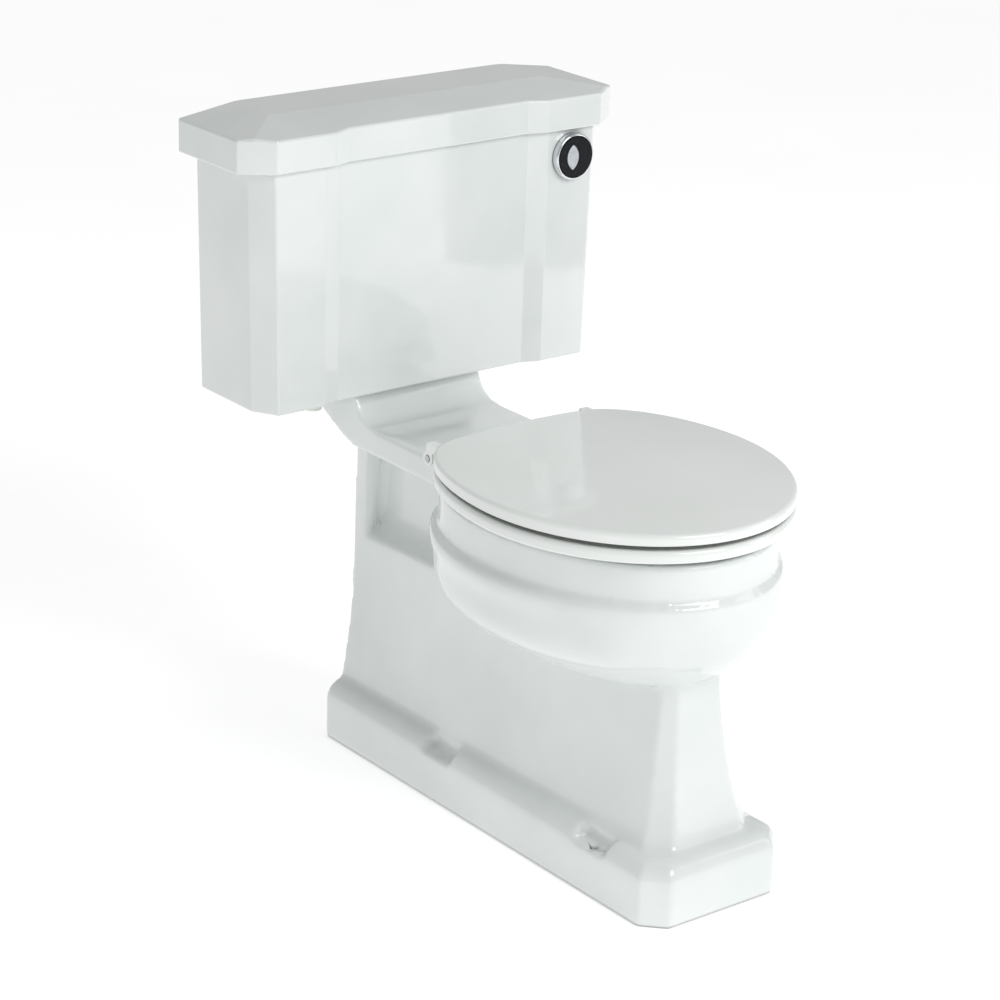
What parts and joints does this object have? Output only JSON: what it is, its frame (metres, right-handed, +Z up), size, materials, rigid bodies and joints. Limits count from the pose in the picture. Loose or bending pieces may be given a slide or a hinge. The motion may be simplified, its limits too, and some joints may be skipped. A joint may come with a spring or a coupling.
{
  "type": "close coupled toilet",
  "caption": "Stepped close coupled toilet with a lift-off cistern lid, front push buttons, hinged seat and lid, and the flush and fill valves inside.",
  "frame": {"origin": "on the floor under the middle of the bounding box", "axes": "+Z up, -Y towards the front of the pan, +X towards the flush buttons, so the wall is at +Y"},
  "size_m": [0.532, 0.688, 0.7905],
  "materials": {
    "vitreous_china": "white vitreous glaze",
    "seat_white": "moulded thermoset, polished",
    "chrome_plate": "polished chrome plate",
    "zinc_steel": "zinc plated",
    "spring_steel": "drawn wire",
    "valve_plastic": "moulded",
    "dark_plastic": "moulded",
    "blue_plastic": "moulded",
    "black_rubber": "moulded",
    "buffer_rubber": "moulded"
  },
  "bodies": {
    "toilet": {"pan": "vitreous_china", "cistern": "vitreous_china", "hinge_posts": "chrome_plate", "hinge_pins": "zinc_steel", "hinge_seals": "black_rubber", "seat_studs": "zinc_steel", "seat_wing_nuts": "valve_plastic", "seat_washers": "black_rubber", "inlet_gasket": "black_rubber", "valve_backnut": "valve_plastic", "coupling_bolts": "zinc_steel", "coupling_bolt_seals": "black_rubber", "coupling_washers": "zinc_steel", "coupling_wing_nuts": "zinc_steel", "button_bezel": "chrome_plate", "button_barrel": "dark_plastic", "button_gasket": "black_rubber", "button_backnut": "dark_plastic", "full_button_spring": "spring_steel", "half_button_spring": "spring_steel", "valve_body": "valve_plastic", "valve_seal": "black_rubber", "shaft_bracket": "valve_plastic", "fill_valve_body": "valve_plastic", "fill_valve_seal": "black_rubber", "fill_valve_nut": "valve_plastic"},
    "ring": {"seat_ring": "seat_white", "ring_buffers": "buffer_rubber"},
    "seat_cover": {"seat_lid": "seat_white", "lid_buffers": "buffer_rubber"},
    "tank_cover": {"cistern_lid": "vitreous_china"},
    "full_button": {"full_flush_button": "chrome_plate"},
    "half_button": {"half_flush_button": "chrome_plate"},
    "full_rocker": {"full_flush_rocker": "zinc_steel"},
    "half_rocker": {"half_flush_rocker": "zinc_steel"},
    "flush_valve": {"lift_tube": "blue_plastic", "flush_seal": "black_rubber"},
    "half_valve": {"half_flush_sleeve": "dark_plastic"},
    "float": {"float_cup": "dark_plastic"},
    "lever": {"float_lever": "blue_plastic"}
  },
  "joints": [
    {"name": "seat_ring_hinge", "type": "hinge", "parent": "toilet", "child": "ring", "pos_m": [0, 0.06, 0.43], "axis": [1, 0, 0], "range_deg": [-95, 0]},
    {"name": "seat_lid_hinge", "type": "hinge", "parent": "ring", "child": "seat_cover", "pos_m": [0, 0.06, 0.43], "axis": [-1, 0, 0], "range_deg": [0, 98]},
    {"name": "cistern_lid_lift", "type": "slide", "parent": "toilet", "child": "tank_cover", "axis": [0, 0, 1], "range_m": [0, 0.08]},
    {"name": "full_button_press", "type": "slide", "parent": "toilet", "child": "full_button", "axis": [0, 1, 0], "range_m": [0, 0.005], "stiffness_N_per_m": 600, "springref_m": -0.002, "deforming": ["full_button_spring"]},
    {"name": "half_button_press", "type": "slide", "parent": "toilet", "child": "half_button", "axis": [0, 1, 0], "range_m": [0, 0.005], "stiffness_N_per_m": 600, "springref_m": -0.002, "deforming": ["half_button_spring"]},
    {"name": "full_rocker_turn", "type": "hinge", "parent": "toilet", "child": "full_rocker", "pos_m": [0, 0.24, 0.7195], "axis": [1, 0, 0], "range_deg": [0, 23.87]},
    {"name": "half_rocker_turn", "type": "hinge", "parent": "toilet", "child": "half_rocker", "pos_m": [0, 0.24, 0.7195], "axis": [1, 0, 0], "range_deg": [0, 23.87]},
    {"name": "flush_valve_lift", "type": "slide", "parent": "toilet", "child": "flush_valve", "axis": [0, 0, 1], "range_m": [0, 0.0195]},
    {"name": "half_valve_lift", "type": "slide", "parent": "toilet", "child": "half_valve", "axis": [0, 0, 1], "range_m": [0, 0.0195]},
    {"name": "float_drop", "type": "slide", "parent": "toilet", "child": "float", "axis": [0, 0, -1], "range_m": [0, 0.012]},
    {"name": "float_lever_turn", "type": "hinge", "parent": "toilet", "child": "lever", "pos_m": [-0.128, 0.282, 0.704], "axis": [0, 1, 0], "range_deg": [0, 20.22]}
  ],
  "couplings": [
    {"joint": "full_rocker_turn", "follows": "full_button_press", "rad_per_m": 83.333},
    {"joint": "flush_valve_lift", "follows": "full_button_press", "ratio": 3.9},
    {"joint": "half_rocker_turn", "follows": "half_button_press", "rad_per_m": 83.333},
    {"joint": "half_valve_lift", "follows": "half_button_press", "ratio": 3.9},
    {"joint": "float_lever_turn", "follows": "float_drop", "rad_per_m": 29.412}
  ]
}
